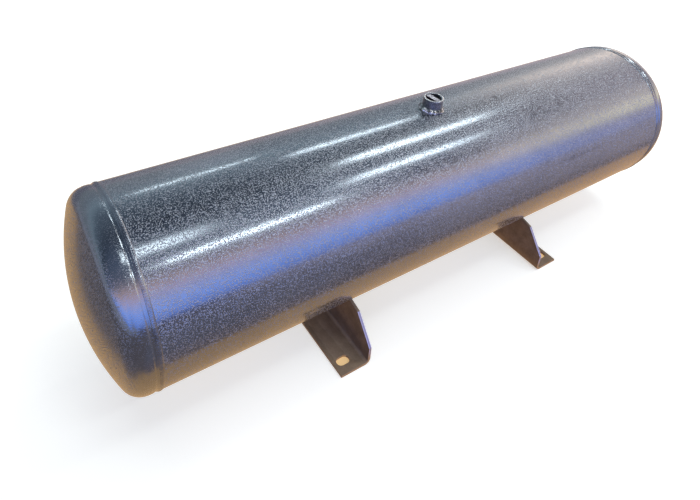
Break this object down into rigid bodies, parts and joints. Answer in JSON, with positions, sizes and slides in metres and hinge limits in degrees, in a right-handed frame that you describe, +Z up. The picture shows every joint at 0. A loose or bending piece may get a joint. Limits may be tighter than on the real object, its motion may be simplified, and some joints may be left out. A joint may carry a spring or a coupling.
{
  "type": "horizontal pressure tank",
  "caption": "Horizontal welded steel pressure tank: rolled shell, dished heads, a plugged threaded port on top and two bent-plate feet with slotted flanges.",
  "frame": {"origin": "on the floor under the middle of the tank's length, on the upright plane through the tank's axis", "axes": "+X along the tank from its left end to its right end, +Z up"},
  "size_m": [1.2244, 0.35, 0.3695],
  "materials": {
    "tank_skin": "semi-gloss dark steel-grey coating with fine speckle",
    "weld_bead": "rippled weld bead under the same coating",
    "port_steel": "turned steel under the same coating, bare bright rim",
    "plug": "dull grey",
    "foot_plate": "satin brown-black coating over bent plate"
  },
  "bodies": {
    "root": {"shell": "tank_skin", "left_head": "tank_skin", "right_head": "tank_skin", "left_girth_weld": "weld_bead", "right_girth_weld": "weld_bead", "port_boss": "port_steel", "port_weld": "weld_bead", "port_plug": "plug", "left_foot": "foot_plate", "right_foot": "foot_plate", "left_foot_outer_weld": "weld_bead", "left_foot_inner_weld": "weld_bead", "right_foot_outer_weld": "weld_bead", "right_foot_inner_weld": "weld_bead"}
  },
  "joints": []
}
